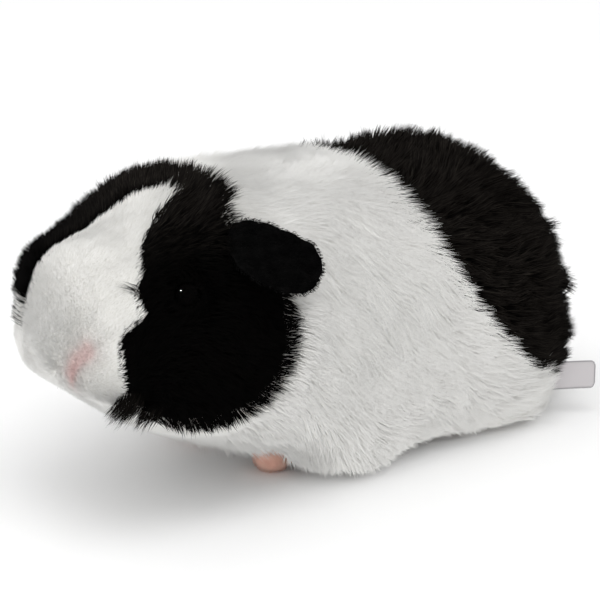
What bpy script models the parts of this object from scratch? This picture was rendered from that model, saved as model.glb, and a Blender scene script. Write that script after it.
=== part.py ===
"""Stuffed toy guinea pig lying on its belly, as construction solids.

Metres, +Z up. The toy faces -X, its left side is towards -Y, and it rests on Z = 0.
Every sewn part is one closed solid that reaches out to the tips of its pile. The body
is modelled whole, then parted by cutters that leave a thin gap along each seam.
"""
import math

import bmesh
import bpy
from mathutils import Matrix, Vector

MM = 0.001
GAP = 0.3                        # clear space along every seam, in millimetres

# Body: cross sections from nose to rear, in millimetres.
STATIONS = (
    # name,        along X, half width, top, underside
    ("nose tip",   -178,  0,  86,  86),
    ("nose",       -176, 26, 113,  71),
    ("muzzle",     -169, 38, 126,  65),
    ("bridge",     -152, 46, 129,  51),
    ("brow",       -127, 54, 135,  34),
    ("eyes",       -101, 61, 140,  25),
    ("cheeks",      -78, 67, 142,  18),
    ("neck",        -56, 71, 140,   4),
    ("shoulder",    -32, 75, 137,  -4),
    ("back",          0, 80, 133,  -5),
    ("loin",         36, 83, 132,  -5),
    ("rump",         70, 78, 131,  -5),
    ("haunch",       97, 63, 112,  -5),
    ("tail base",   117, 46,  91,  -2),
    ("rear",        129, 27,  66,   7),
    ("rear tip",    134,  0,  38,  38),
)
BODY_SIDES = 34
BODY_ROWS = 36
WIDEST_HEIGHT = 0.40             # share of a section's height where it is widest
SIDE_FULLNESS = 0.90             # below 1 is squarer than an ellipse
TOP_FULLNESS = 0.85
BELLY_FULLNESS = 0.62

# Fluffy swellings over the brows and the folded legs: centre (X, Y, Z), spread, height, in mm.
LOBES = (
    ((-110, 34, 125), 28, 7.5),
    ((-37, 59, 6), 28, 10.5),
    ((67, 54, 4), 31, 14.5),
)
LOBE_CORE_HEIGHT = 54

# The head is turned towards the toy's left, about an upright line at the neck.
HEAD_TURN = math.radians(12)
NECK_X = -14
NECK_BEND = 30                   # half length of the stretch where the turn sets in

# Seams, in millimetres.
NECK_SEAM_X = -78                # between the head and the white shoulder
CROWN_SEAM = (
    # along X, height: the neck seam runs forwards to the ear, then back over the crown
    (-78, 104), (-87, 116), (-95, 127), (-97.5, 133), (-95, 136.5), (-88.5, 139), (-83.5, 141.5),
    (-80, 144),
)
CHEEK_DISC = (-121.5, 88, 44.5)  # centre X, centre Z and radius of the round black cheek;
                                 # above its centre the black reaches the front of the muzzle
BLAZE = (
    # height, left edge, right edge of the white blaze from the turned head's middle
    (143, -9, -3), (140.5, -16, 3.5), (138.5, -19.3, 7.5), (135, -22.6, 9.5), (131.5, -24, 8.5),
    (128, -26.8, 7.5), (124, -30.4, 10), (119, -34.8, 15), (114, -36.8, 17), (110, -38.6, 18),
    (106.5, -41, 19), (103.7, -42.8, 20), (100.5, -41.4, 21), (97.5, -38.4, 22), (88, -39.4, 25),
    (74, -39.4, 26), (60, -37.5, 27), (-10, -36, 28),
)
BLAZE_TIP_X = -103               # it ends here, on the crown
RUMP_DISC = (125, 134, 117)      # centre X, centre Z and radius of the black rump
DISC_STEPS = 24

# Legs: ellipsoid that parts each one from the flank (centre, radii), in millimetres.
LEGS = {
    "leg_front": ((-31, 62, 14), (40, 28, 36)),
    "leg_hind": ((74, 54, 12), (37, 26, 32)),
}
PAWS = {
    "paw_front": ((-59.5, 24, 7.6), (9.5, 8.5, 8.3)),
    "paw_hind": ((38, 44, 4.0), (15, 9, 5.5)),
}
BALL_SIDES = 14
BALL_ROWS = 9

# Ears: base on the head and flap, before the head is turned, in millimetres.
EAR_BASE = (-104, 46, 125)
EAR_REACH = (25, 27, -14)        # from base to tip
EAR_EDGE = (-11, 15, -19)        # along the base, from the upper to the lower edge
EAR_LENGTH = 47.5
EAR_WIDTH = 36
EAR_THICKNESS = 3.2
EAR_ROOT_WIDTH = 0.68            # share of the full width at the base
EAR_TOP_TAPER = 0.05             # how much less of it the upper edge has at the tip
EAR_ROOT_DEPTH = 5               # how far the base is sunk into the head
EAR_ROUNDNESS = 0.68             # of its ends: below 1 is squarer than an ellipse
EAR_CUP = 3.0
EAR_SIDES = 18
EAR_ROWS = 10

EYE_PLACE = (-133, 46.5, 108)
EYE_OUTWARD = (-0.12, 0.88, 0.46)
EYE_RADIUS = 5.8
EYE_SUNK = 3.2

LABEL_ROOT = (86, -69, 20.7)
LABEL_SIZE = (20.5, 0.7, 13.4)
LABEL_CORNER = 2.2
LABEL_TURN = math.radians(-32)

# Cutters reach past the body on every side, to these distances, in millimetres.
AHEAD = -260
BELOW = -20
ABOVE = 220
BESIDE = 150

COLOURS = {
    # name: base colour, roughness
    "white_plush": ((0.80, 0.79, 0.77), 0.95),
    "black_plush": ((0.012, 0.011, 0.010), 0.90),
    "black_velvet": ((0.010, 0.010, 0.012), 0.85),
    "pink_felt": ((0.78, 0.40, 0.33), 0.92),
    "black_plastic": ((0.006, 0.006, 0.007), 0.08),
    "satin_label": ((0.86, 0.86, 0.85), 0.55),
}
SIDES = (("left", -1), ("right", 1))


def clear_scene():
    for obj in list(bpy.data.objects):
        bpy.data.objects.remove(obj, do_unlink=True)


def new_collection(name):
    collection = bpy.data.collections.new(name)
    bpy.context.scene.collection.children.link(collection)
    return collection


def make_material(name):
    colour, roughness = COLOURS[name]
    material = bpy.data.materials.new(name)
    material.use_nodes = True
    shader = material.node_tree.nodes["Principled BSDF"]
    shader.inputs["Base Color"].default_value = (*colour, 1.0)
    shader.inputs["Roughness"].default_value = roughness
    shader.inputs["Metallic"].default_value = 0.0
    material.diffuse_color = (*colour, 1.0)
    return material


def mesh_object(name, bm, collection, material=None):
    """Turn a closed bmesh into an object with its faces pointing out."""
    bmesh.ops.recalc_face_normals(bm, faces=bm.faces)
    if bm.calc_volume(signed=True) < 0:
        bmesh.ops.reverse_faces(bm, faces=bm.faces)
    mesh = bpy.data.meshes.new(name)
    bm.to_mesh(mesh)
    bm.free()
    obj = bpy.data.objects.new(name, mesh)
    collection.objects.link(obj)
    if material:
        mesh.materials.append(material)
    return obj


# ---- placing -------------------------------------------------------------------------

def midline(x):
    """Y of the toy's middle plane at x: straight along the body, turned at the head."""
    ahead = NECK_X * MM - x
    bend = NECK_BEND * MM
    if ahead <= -bend:
        return 0.0
    if ahead < bend:
        ahead = (ahead + bend) ** 2 / (4 * bend)
    return -math.tan(HEAD_TURN) * ahead


def turn_head(point):
    return Vector((point.x, point.y + midline(point.x), point.z))


def sided(place, side):
    """A place given in mm for the right half, moved to its side of the middle plane."""
    return Vector((place[0], side * place[1] + midline(place[0] * MM) / MM, place[2]))


# ---- the stuffed body ----------------------------------------------------------------

def power(value, exponent):
    return math.copysign(abs(value) ** exponent, value)


def section(place):
    """Section sizes at place, from 0 at the nose to 1 at the rear, in metres."""
    rows = [row[1:] for row in STATIONS]
    position = min(place, 0.999999) * (len(rows) - 1)
    index = int(position)
    t = position - index
    before = rows[index - 1] if index else [2 * p - q for p, q in zip(rows[0], rows[1])]
    start, end = rows[index], rows[index + 1]
    if index + 2 < len(rows):
        after = rows[index + 2]
    else:
        after = [2 * p - q for p, q in zip(end, start)]
    sizes = []
    for a, b, c, d in zip(before, start, end, after):
        curve = 2 * b + (c - a) * t + (2 * a - 5 * b + 4 * c - d) * t * t
        curve += (3 * b - a - 3 * c + d) * t ** 3
        sizes.append(0.5 * curve * MM)
    return sizes


def body_point(place, angle):
    x, half_width, top, underside = section(place)
    middle = underside + (top - underside) * WIDEST_HEIGHT
    rise = math.sin(angle)
    y = max(half_width, 0.0) * power(math.cos(angle), SIDE_FULLNESS)
    if rise > 0:
        z = middle + (top - middle) * power(rise, TOP_FULLNESS)
    else:
        z = middle + (middle - underside) * power(rise, BELLY_FULLNESS)
    return Vector((x, y, z))


def swell(point):
    """Push a body point outwards over each brow and each folded leg."""
    core = Vector((point.x, 0.0, LOBE_CORE_HEIGHT * MM))
    outward = (point - core).normalized()
    push = 0.0
    for (x, y, z), spread, height in LOBES:
        for _, side in SIDES:
            centre = Vector((x, side * y, z)) * MM
            push += height * MM * math.exp(-((point - centre).length / (spread * MM)) ** 2)
    return point + outward * push


def make_body(collection):
    """The whole stuffed body as one closed form, flat where it lies on the floor."""
    bm = bmesh.new()
    bmesh.ops.create_uvsphere(bm, u_segments=BODY_SIDES, v_segments=BODY_ROWS, radius=1.0)
    for vert in bm.verts:
        place = math.acos(max(-1.0, min(1.0, vert.co.z))) / math.pi
        angle = math.atan2(vert.co.y, vert.co.x)
        point = turn_head(swell(body_point(place, angle)))
        point.z = max(point.z, 0.0)
        vert.co = point
    bmesh.ops.triangulate(bm, faces=bm.faces)
    return mesh_object("body_form", bm, collection)


# ---- cutters for the seams -----------------------------------------------------------

def outline_space(name, outline, axes, reach, cutters):
    """Prism over a flat outline: axes are the outline's two axes and the prism's own."""
    bm = bmesh.new()
    corners = []
    for first, second in outline:
        point = Vector()
        point[axes[0]], point[axes[1]], point[axes[2]] = first, second, reach[0]
        corners.append(bm.verts.new(point * MM))
    base = bm.faces.new(corners)
    pulled = bmesh.ops.extrude_face_region(bm, geom=[base], use_keep_orig=True)["geom"]
    shift = Vector()
    shift[axes[2]] = (reach[1] - reach[0]) * MM
    moved = [item for item in pulled if isinstance(item, bmesh.types.BMVert)]
    bmesh.ops.translate(bm, vec=shift, verts=moved)
    return mesh_object(name, bm, cutters)


def side_space(name, outline, cutters):
    """Prism right through the body, over an outline seen from the side."""
    return outline_space(name, outline, (0, 2, 1), (-BESIDE, BESIDE), cutters)


def half_disc(centre_x, centre_z, radius):
    """Lower half of a circle, from its front end to its rear end."""
    arc = []
    for i in range(DISC_STEPS + 1):
        angle = math.pi + math.pi * i / DISC_STEPS
        arc.append((centre_x + radius * math.cos(angle), centre_z + radius * math.sin(angle)))
    return arc


def grown(outline, distance):
    """A clockwise outline with every edge moved outwards by a distance."""
    points = [Vector(point) for point in outline]
    moved = []
    for before, here, after in zip(points[-1:] + points[:-1], points, points[1:] + points[:1]):
        first, second = (here - before).normalized(), (after - here).normalized()
        outwards = Vector((-first.y - second.y, first.x + second.x)).normalized()
        moved.append(here + outwards * distance / outwards.dot(Vector((-first.y, first.x))))
    return moved


def head_space(name, grow, cutters):
    """All that lies ahead of the neck seam."""
    outline = [(AHEAD, BELOW), (NECK_SEAM_X + grow, BELOW)]
    outline += [(x + grow, z) for x, z in CROWN_SEAM]
    outline += [(CROWN_SEAM[-1][0] + grow, ABOVE), (AHEAD, ABOVE)]
    return side_space(name, outline, cutters)


def cheek_space(name, grow, cutters):
    """Round black cheek below, and the whole crown above it."""
    x, z, radius = CHEEK_DISC
    behind = CROWN_SEAM[-1][0] + 10
    outline = [(AHEAD, z - grow), (x - radius - grow, z - grow)]
    outline += half_disc(x, z, radius + grow)[1:]
    outline += [(behind, CROWN_SEAM[0][1]), (behind, ABOVE), (AHEAD, ABOVE)]
    return side_space(name, outline, cutters)


def rump_space(name, grow, cutters):
    x, z, radius = RUMP_DISC
    outline = half_disc(x, z, radius + grow)
    outline += [(x + radius + grow, ABOVE), (x - radius - grow, ABOVE)]
    return side_space(name, outline, cutters)


def blaze_space(name, grow, cutters):
    """Drop-shaped prism along the turned head."""
    outline = [(right, height) for height, _, right in BLAZE]
    outline += [(left, height) for height, left, _ in reversed(BLAZE)]
    outline = grown(outline, grow)
    space = outline_space(name, outline, (1, 2, 0), (AHEAD, BLAZE_TIP_X + grow), cutters)
    for vert in space.data.vertices:
        vert.co = turn_head(vert.co)
    return space


def half_space(name, side, cutters):
    """One side of the turned head's middle plane."""
    inside, outside = side * GAP / 2, side * BESIDE
    outline = [(inside, BELOW), (outside, BELOW), (outside, ABOVE), (inside, ABOVE)]
    space = outline_space(name, outline, (1, 2, 0), (AHEAD, CROWN_SEAM[-1][0] + 2), cutters)
    for vert in space.data.vertices:
        vert.co = turn_head(vert.co)
    return space


# ---- small parts and their pockets ---------------------------------------------------

def make_ball(name, centre, radii, collection, grow=0.0, material=None):
    bm = bmesh.new()
    bmesh.ops.create_uvsphere(bm, u_segments=BALL_SIDES, v_segments=BALL_ROWS, radius=1.0)
    for vert in bm.verts:
        vert.co = Vector((centre[i] + vert.co[i] * (radii[i] + grow)) * MM for i in range(3))
    return mesh_object(name, bm, collection, material)


def make_paw(name, paw, side, collection, grow=0.0, material=None):
    """Small felt foot, flat on the floor."""
    centre, radii = PAWS[paw]
    obj = make_ball(name, sided(centre, side), radii, collection, grow, material)
    for vert in obj.data.vertices:
        vert.co.z = max(vert.co.z, -grow * MM)
    return obj


def make_ear(name, side, collection, grow=0.0, material=None):
    """Velvet flap: its lower edge widens towards the round tip, its upper edge is straight."""
    reach = Vector(EAR_REACH).normalized()
    facing = Vector(EAR_EDGE).cross(reach).normalized()
    edge = reach.cross(facing)
    bm = bmesh.new()
    bmesh.ops.create_uvsphere(bm, u_segments=EAR_SIDES, v_segments=EAR_ROWS, radius=1.0)
    for vert in bm.verts:
        length, across, thick = vert.co
        share = (length + 1) / 2
        width = EAR_ROOT_WIDTH - EAR_TOP_TAPER * share
        if across > 0:
            width = EAR_ROOT_WIDTH + (1 - EAR_ROOT_WIDTH) * math.sin(math.pi / 2 * share)
        along = (power(length, EAR_ROUNDNESS) + 1) / 2 * EAR_LENGTH + length * grow
        sideways = across * (EAR_WIDTH / 2 * width + grow)
        height = thick * (EAR_THICKNESS / 2 + grow) - EAR_CUP * across ** 2 * share
        point = Vector(EAR_BASE) + reach * (along - EAR_ROOT_DEPTH)
        point += edge * sideways + facing * height
        point.y *= side
        vert.co = turn_head(point * MM)
    bmesh.ops.triangulate(bm, faces=bm.faces)
    return mesh_object(name, bm, collection, material)


def make_eye(name, side, collection, grow=0.0, material=None):
    centre = sided(Vector(EYE_PLACE) - Vector(EYE_OUTWARD).normalized() * EYE_SUNK, side)
    return make_ball(name, centre, (EYE_RADIUS,) * 3, collection, grow, material)


def make_label(name, collection, grow=0.0, material=None):
    """Care label sewn into the seam at the left of the rump."""
    bm = bmesh.new()
    bmesh.ops.create_cube(bm, size=1.0)
    across = [edge for edge in bm.edges if abs((edge.verts[0].co - edge.verts[1].co).y) > 0.5]
    length, thickness, height = ((size + 2 * grow) * MM for size in LABEL_SIZE)
    bmesh.ops.scale(bm, vec=(length, thickness, height), verts=bm.verts)
    bmesh.ops.bevel(bm, geom=across, offset=LABEL_CORNER * MM, segments=4, affect="EDGES")
    bmesh.ops.translate(bm, vec=(LABEL_SIZE[0] / 2 * MM, 0, 0), verts=bm.verts)
    place = Matrix.Translation(Vector(LABEL_ROOT) * MM) @ Matrix.Rotation(LABEL_TURN, 4, "Z")
    bmesh.ops.transform(bm, matrix=place, verts=bm.verts)
    return mesh_object(name, bm, collection, material)


def add_small_parts(parts, cutters, finish):
    """Eyes, ears, paws and label, with the pockets that make room for them."""
    pockets = []
    for word, side in SIDES:
        make_eye("eye_" + word, side, parts, 0.0, finish["black_plastic"])
        pockets.append(make_eye("pocket_eye_" + word, side, cutters, GAP))
        make_ear("ear_" + word, side, parts, 0.0, finish["black_velvet"])
        pockets.append(make_ear("pocket_ear_" + word, side, cutters, GAP))
        for paw in PAWS:
            name = paw + "_" + word
            make_paw(name, paw, side, parts, 0.0, finish["pink_felt"])
            pockets.append(make_paw("pocket_" + name, paw, side, cutters, GAP))
    make_label("care_label", parts, 0.0, finish["satin_label"])
    pockets.append(make_label("pocket_label", cutters, GAP))
    return pockets


# ---- parting the body ----------------------------------------------------------------

def add_boolean(obj, operation, cutter):
    boolean = obj.modifiers.new(cutter.name, "BOOLEAN")
    boolean.operation = operation
    boolean.object = cutter
    boolean.solver = "EXACT"


def carve(name, body, steps, parts, material):
    """A copy of the body, cut by a list of (operation, cutter) steps."""
    obj = bpy.data.objects.new(name, body.data.copy())
    obj.data.materials.append(material)
    parts.objects.link(obj)
    for operation, cutter in steps:
        add_boolean(obj, operation, cutter)


def hollows(pockets, words):
    """Steps that leave room for the small parts named by the words."""
    return [("DIFFERENCE", spot) for spot in pockets if any(word in spot.name for word in words)]


def carve_trunk(body, pockets, parts, cutters, finish):
    """White trunk and legs, and the black rump."""
    rump = rump_space("cut_rump", 0.0, cutters)
    rump_wide = rump_space("seam_rump", GAP, cutters)
    steps = [("DIFFERENCE", head_space("seam_neck", GAP, cutters)), ("DIFFERENCE", rump_wide)]
    for word, side in SIDES:
        feet = [spot for spot in pockets if "paw" in spot.name and spot.name.endswith(word)]
        for leg, (centre, radii) in LEGS.items():
            name = leg + "_" + word
            place = sided(centre, side)
            tight = make_ball("cut_" + name, place, radii, cutters)
            leg_steps = [("INTERSECT", tight), ("DIFFERENCE", rump_wide)]
            leg_steps += hollows(feet, ("paw",)) + hollows(pockets, ("label",))
            carve(name, body, leg_steps, parts, finish["white_plush"])
            steps.append(("DIFFERENCE", make_ball("seam_" + name, place, radii, cutters, GAP)))
    steps += hollows(pockets, ("paw", "ear", "label"))
    carve("trunk", body, steps, parts, finish["white_plush"])
    rump_steps = [("INTERSECT", rump)] + hollows(pockets, ("label",))
    carve("rump", body, rump_steps, parts, finish["black_plush"])


def carve_head(body, pockets, parts, cutters, finish):
    """White muzzle, blaze, chin and throat, with a black cheek on each side."""
    head = head_space("cut_head", 0.0, cutters)
    cheek = cheek_space("cut_cheek", 0.0, cutters)
    blaze = blaze_space("cut_blaze", 0.0, cutters)
    blaze_wide = blaze_space("seam_blaze", GAP, cutters)
    both_cheeks = cheek_space("seam_cheeks", GAP, cutters)
    add_boolean(both_cheeks, "DIFFERENCE", blaze)
    steps = [("INTERSECT", head), ("DIFFERENCE", both_cheeks)]
    steps += hollows(pockets, ("paw_front", "eye"))
    carve("head", body, steps, parts, finish["white_plush"])
    for word, side in SIDES:
        half = half_space("cut_half_" + word, side, cutters)
        steps = [("INTERSECT", head), ("INTERSECT", cheek), ("DIFFERENCE", blaze_wide),
                 ("INTERSECT", half)]
        steps += hollows(pockets, ("ear_" + word, "eye_" + word))
        carve("cheek_" + word, body, steps, parts, finish["black_plush"])


def build_toy():
    clear_scene()
    parts = new_collection("plush_guinea_pig")
    cutters = new_collection("cutters")
    finish = {name: make_material(name) for name in COLOURS}
    body = make_body(cutters)
    pockets = add_small_parts(parts, cutters, finish)
    carve_trunk(body, pockets, parts, cutters, finish)
    carve_head(body, pockets, parts, cutters, finish)
    for obj in cutters.objects:
        obj.hide_render = True
        obj.display_type = "WIRE"
    root = bpy.data.objects.new("rests_on_floor", None)
    for obj in parts.objects:
        obj.parent = root
    parts.objects.link(root)


build_toy()
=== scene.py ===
"""Looks of a stuffed toy guinea pig: sewn skin, combed pile, velvet ears and studio.

Metres, in the frame of the solids: the toy faces -X, its left side is towards -Y, and it
lies on Z = 0. One skin stands for all sewn body parts, sunk below the solids by the depth
of the pile. The pile is solid mesh: thin closed strands rooted in the skin.
"""
import math

import bmesh
import bpy
import numpy as np
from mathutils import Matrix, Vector
from mathutils.bvhtree import BVHTree
from mathutils.kdtree import KDTree


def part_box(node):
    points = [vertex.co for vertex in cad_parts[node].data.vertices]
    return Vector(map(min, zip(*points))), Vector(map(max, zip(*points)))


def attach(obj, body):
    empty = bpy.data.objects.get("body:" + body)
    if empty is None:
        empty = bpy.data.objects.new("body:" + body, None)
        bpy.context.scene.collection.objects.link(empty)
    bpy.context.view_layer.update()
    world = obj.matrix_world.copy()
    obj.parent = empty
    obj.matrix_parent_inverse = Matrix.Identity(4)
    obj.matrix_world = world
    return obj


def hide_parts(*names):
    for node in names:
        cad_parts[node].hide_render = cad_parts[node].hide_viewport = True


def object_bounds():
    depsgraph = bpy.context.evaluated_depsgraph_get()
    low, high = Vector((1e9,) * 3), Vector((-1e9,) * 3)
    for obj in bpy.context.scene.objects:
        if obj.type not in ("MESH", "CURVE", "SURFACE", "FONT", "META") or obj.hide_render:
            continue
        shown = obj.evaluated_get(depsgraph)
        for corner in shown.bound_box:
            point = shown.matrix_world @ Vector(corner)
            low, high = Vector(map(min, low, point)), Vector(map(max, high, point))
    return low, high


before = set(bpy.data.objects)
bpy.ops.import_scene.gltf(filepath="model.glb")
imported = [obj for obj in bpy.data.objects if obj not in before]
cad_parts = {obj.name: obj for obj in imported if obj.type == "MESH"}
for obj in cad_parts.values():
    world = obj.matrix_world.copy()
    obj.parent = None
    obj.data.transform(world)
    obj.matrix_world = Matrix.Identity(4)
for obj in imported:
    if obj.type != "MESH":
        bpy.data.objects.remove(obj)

MM = 0.001
LOOKUP_REACH = 10 * MM                # over the backing, past the tips of the pile
CAD_LOW, CAD_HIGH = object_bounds()

# Sewn parts that one skin stands for, and the colour of the plush of each.
WHITE, BLACK = 0, 1
FLESH = {
    "head": WHITE, "cheek_left": BLACK, "cheek_right": BLACK, "trunk": WHITE, "rump": BLACK,
    "leg_front_left": WHITE, "leg_front_right": WHITE,
    "leg_hind_left": WHITE, "leg_hind_right": WHITE,
}
NODES = tuple(FLESH)
EYE_NODES = ("eye_left", "eye_right")

# Skin
SKIN_VOXEL = 2.1 * MM
SKIN_FLOOR = 1.0 * MM                 # height of the skin where the toy lies on the floor
SINK_NEAR_FLOOR = 2.5 * MM            # depth added to the skin there
SMOOTH_BEFORE, SMOOTH_AFTER = 14, 6   # rounds of smoothing, before and after it is sunk
FACE_ROUNDS = 70                      # rounds that even out the muzzle
FACE_STEPS = 0.5, -0.52               # each round smooths, then undoes the shrinking of that
BODY_ROUNDS, FACE_MORE = 6, 54        # rounds that average the normals: all, then the muzzle
NEIGHBOUR_WEIGHT = 5                  # weight of the neighbours in that average

# Strands: how many, how wide, how they are shaded and shared out.
DENSITY = 1.0      # share of the strands that are grown
BLACK_DENSITY, WHITE_DENSITY = 1.7, 2.1    # strands for each square millimetre of skin
SHORT_PILE_MORE = 3.1                 # the same, added where the pile is short
NAP_DENSITY = 2.6                     # the same, on ears and paws
BELLY_THINNING = 0.93                 # share of the strands left out under the belly
THIN_WIDTH = 0.22 * MM                # of the shortest strands
BLACK_WIDTH, WHITE_WIDTH = 0.40 * MM, 0.30 * MM            # of the longest
WIDTH_BY_LENGTH = 0.05                # and between them, as a share of the length
EYE_CLEARING = 7.0 * MM               # from an eye's centre, where no strand has its root
PAW_CLEARING = 10 * MM                # the same for a front paw
OVERHANG = 0.8, 0.3                   # share of its reach by which pile of head and body
                                      # covers the next sewn part
SOFTNESS = 0.90                       # share of the skin's own normal in a strand's shading
STRANDS_IN_LOCK = 9
LOCK_REACH = 5 * MM                   # how far from its leader a strand still joins a lock
PILE_FLOOR = 0.4 * MM                 # lowest height of a strand
VERTICES_PER_STRAND, TRIANGLES_PER_STRAND = 5, 6
PIECE_LIMIT = 190000                  # triangles in one coat piece
UV_PATCH = 0.003                      # size of a strand's patch in the OFBake map

# Pile by region: length in mm, then the lift of its lower and its upper half in degrees.
# Pairs are blended: lengths and the lifts of white pile from the back of the head to the
# muzzle, and the lifts of black pile from the toy's lower side to its upper side.
BODY_WHITE = 15.0, 60.0, 22.0
BODY_BLACK = 13.5, 66.0, (34.0, 54.0)
HEAD_WHITE = (5.4, 2.9), (58.0, 60.0), (38.0, 32.0)
HEAD_BLACK = (9.5, 6.5), (56.0, 70.0), (28.0, 56.0)
BELLY_PILE = 3.5, 30.0, 5.0
THROAT_MORE = 4.5                     # mm of length added under the chin
PRESSED = 0.55                        # share of its length that pile loses near the floor

# How far the pile lies backwards and upwards: on the back, and what is added at the rear,
# low on the body and on the head.
BACKWARDS = 0.55, 0.75, 0.75, 0.3
UPWARDS = -1.0, 0.45, 0.35, 0.2
SWIRLS = (0.45, 55 * MM, 3), (0.25, 17 * MM, 4)        # strength, wavelength and seed

# Care label: radius of its corners, its thickness and the radius of its overlocked hem.
LABEL_CORNER = 2.2 * MM               # radius
LABEL_THICKNESS = 0.35 * MM
HEM_RADIUS = 0.38 * MM

# Colours of the pile: at the root, darker as painted shade deep in the pile, at the tip, and of
# the strands that differ most.
# On white the third colour is random duller tone and also painted shade on the blaze;
# on black it is brown tips, part the pile's own brown and part painted sheen.
BLACK_PILE = (0.0010, 0.0009, 0.0009), (0.0026, 0.0024, 0.0023), (0.050, 0.043, 0.036)
WHITE_PILE = (0.90, 0.89, 0.85), (0.95, 0.945, 0.925), (0.76, 0.75, 0.71)
PINK = (0.97, 0.47, 0.45)


# ---- places on the toy, from the frame -----------------------------------------------

def centre_of(*nodes):
    """Middle of the boxes of some nodes."""
    spots = [sum(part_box(node), Vector()) / 2 for node in nodes]
    return sum(spots, Vector()) / len(spots)


EYES = centre_of(*EYE_NODES)
EARS = centre_of("ear_left", "ear_right")
HEAD_SLOPE = (EARS.y - EYES.y) / (EARS.x - EYES.x)     # the head is turned to its left
NOSE_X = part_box("head")[0].x
NECK_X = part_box("cheek_left")[1].x
REAR_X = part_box("rump")[1].x


def midline(x):
    """Y of the toy's middle plane at x, for a number or an array."""
    return np.minimum(0.0, EYES.y + HEAD_SLOPE * (x - EYES.x))


def on_head(ahead_of_eyes, side, above_eyes):
    """A point in mm: ahead of the eyes, to the right of the middle, above the eyes."""
    x = EYES.x - ahead_of_eyes * MM
    return Vector((x, float(midline(x)) + side * MM, EYES.z + above_eyes * MM))


# Places below are as on_head takes them: mm ahead of the eyes, to the right, above the eyes.

# The mouth: a crease round the front of the muzzle, from its raised corner to the middle.
MOUTH = [(35.5, 38, -8.5), (41, 32, -12), (43.5, 24, -17), (44.5, 16, -23.5), (44.2, 11, -32),
         (43, 0, -38)]
MOUTH_DEPTH = 2.8 * MM, 1.0 * MM      # on its left and on its right
MOUTH_WIDTH = 2.6 * MM
CHIN = 40, 22, -38                    # middle of the swelling below it, on either side
CHIN_HEIGHT, CHIN_RADIUS = 1.8 * MM, 13 * MM
PARTING = 44, 0, -33                  # the pile of the face spreads from here

# Airbrushed pink: a streak along part of the mouth, and a faint halo round the streak.
PINK_STRETCH = slice(2, 5)            # points of the mouth line, on its left
STREAK_RADIUS, HALO_RADIUS, HALO = 2.8 * MM, 6 * MM, 0.14

STRIP_END = 43, 23, -16               # the far side's black strip fades out here
STRIP_FADE = 0.8                      # share of its strands that are white at its end
EYE_FACING = (-0.60, 0.60, 0.53)      # outwards from the right eye
EYE_OPENING = 4.4 * MM                # radius of the part of an eye that shows
STRAYS = (
    # place, radius, share of the strands, aim, shortest and longest length in millimetres
    ((20.5, -37.7, 5), 3.4, 0.4, (-0.88, 0.54, 0.36), 7, 12),        # lashes
    ((-41, -48, 24), 2.6, 0.6, (-0.1, -0.2, 1.0), 7, 11),            # by the near ear
    ((28, -37, -38), 7.0, 0.95, (-0.7, 0.3, -0.75), 7, 12),          # under the near cheek
    ((18, -41, -48), 6.0, 0.8, (-0.6, 0.3, -0.8), 6, 10),
)


def mouth_line():
    """The whole mouth as points in metres, from its left corner to its right one."""
    left = [on_head(ahead, -side, up) for ahead, side, up in MOUTH]
    right = [on_head(ahead, side, up) for ahead, side, up in reversed(MOUTH[:-1])]
    return np.array([point[:] for point in left + right])


# ---- small numeric helpers -----------------------------------------------------------

def smoothstep(low, high, value):
    """0 at low, 1 at high and a smooth climb between; low may be the larger one."""
    share = np.clip((value - low) / (high - low), 0.0, 1.0)
    return share * share * (3 - 2 * share)


def unit(vectors):
    length = np.linalg.norm(vectors, axis=-1, keepdims=True)
    return vectors / np.maximum(length, 1e-9)


def blend(first, second, share):
    return first + (second - first) * share


def ripple(points, wavelength, seed):
    """Smooth waviness between about -1 and 1, from a few crossing sine waves."""
    waves, usual_peak = 6, 2.5
    rng = np.random.default_rng(seed)
    total = np.zeros(len(points))
    for _ in range(waves):
        wave = rng.normal(size=3)
        wave *= 2 * math.pi / wavelength / np.linalg.norm(wave) * rng.uniform(0.6, 1.6)
        total += np.sin(points @ wave + rng.uniform(0, 2 * math.pi))
    return total / usual_peak


def distance_to(place, points):
    """Distance from each point to one place."""
    return np.linalg.norm(points - np.array(place[:]), axis=1)


def distance_to_line(points, line):
    """Distance from each point to an open chain of straight stretches."""
    nearest = np.full(len(points), np.inf)
    for start, end in zip(line, line[1:]):
        along = end - start
        share = np.clip((points - start) @ along / (along @ along), 0.0, 1.0)
        gap = np.linalg.norm(points - start - share[:, None] * along, axis=1)
        nearest = np.minimum(nearest, gap)
    return nearest


def read_vertices(mesh):
    points = np.empty(len(mesh.vertices) * 3, np.float32)
    mesh.vertices.foreach_get("co", points)
    return points.reshape(-1, 3).astype(float)


def read_normals(mesh):
    normals = np.empty(len(mesh.vertices) * 3, np.float32)
    mesh.vertices.foreach_get("normal", normals)
    return normals.reshape(-1, 3).astype(float)


def write_vertices(mesh, points):
    mesh.vertices.foreach_set("co", points.astype(np.float32).ravel())
    mesh.update()


def read_edges(mesh):
    ends = np.empty(len(mesh.edges) * 2, np.int32)
    mesh.edges.foreach_get("vertices", ends)
    return ends.reshape(-1, 2)


def neighbour_mean(values, ends):
    """Mean of the values at the neighbours of each point; ends are the mesh's edges."""
    total = np.zeros_like(values)
    number = np.bincount(ends.ravel(), minlength=len(values))
    for near, far in ((0, 1), (1, 0)):
        for axis in range(3):
            total[:, axis] += np.bincount(ends[:, near], values[ends[:, far], axis], len(values))
    return total / np.maximum(number, 1)[:, None]


def read_triangles(mesh):
    mesh.calc_loop_triangles()
    triangles = np.empty(len(mesh.loop_triangles) * 3, np.int32)
    mesh.loop_triangles.foreach_get("vertices", triangles)
    return triangles.reshape(-1, 3)


# ---- objects and materials -----------------------------------------------------------

MIX_FACTOR, MIX_FIRST, MIX_SECOND, MIX_RESULT = 0, 6, 7, 2     # colour sockets of a Mix node


def add_object(name, mesh, material):
    obj = bpy.data.objects.new(name, mesh)
    bpy.context.scene.collection.objects.link(obj)
    mesh.materials.clear()
    mesh.materials.append(material)
    return obj


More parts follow.
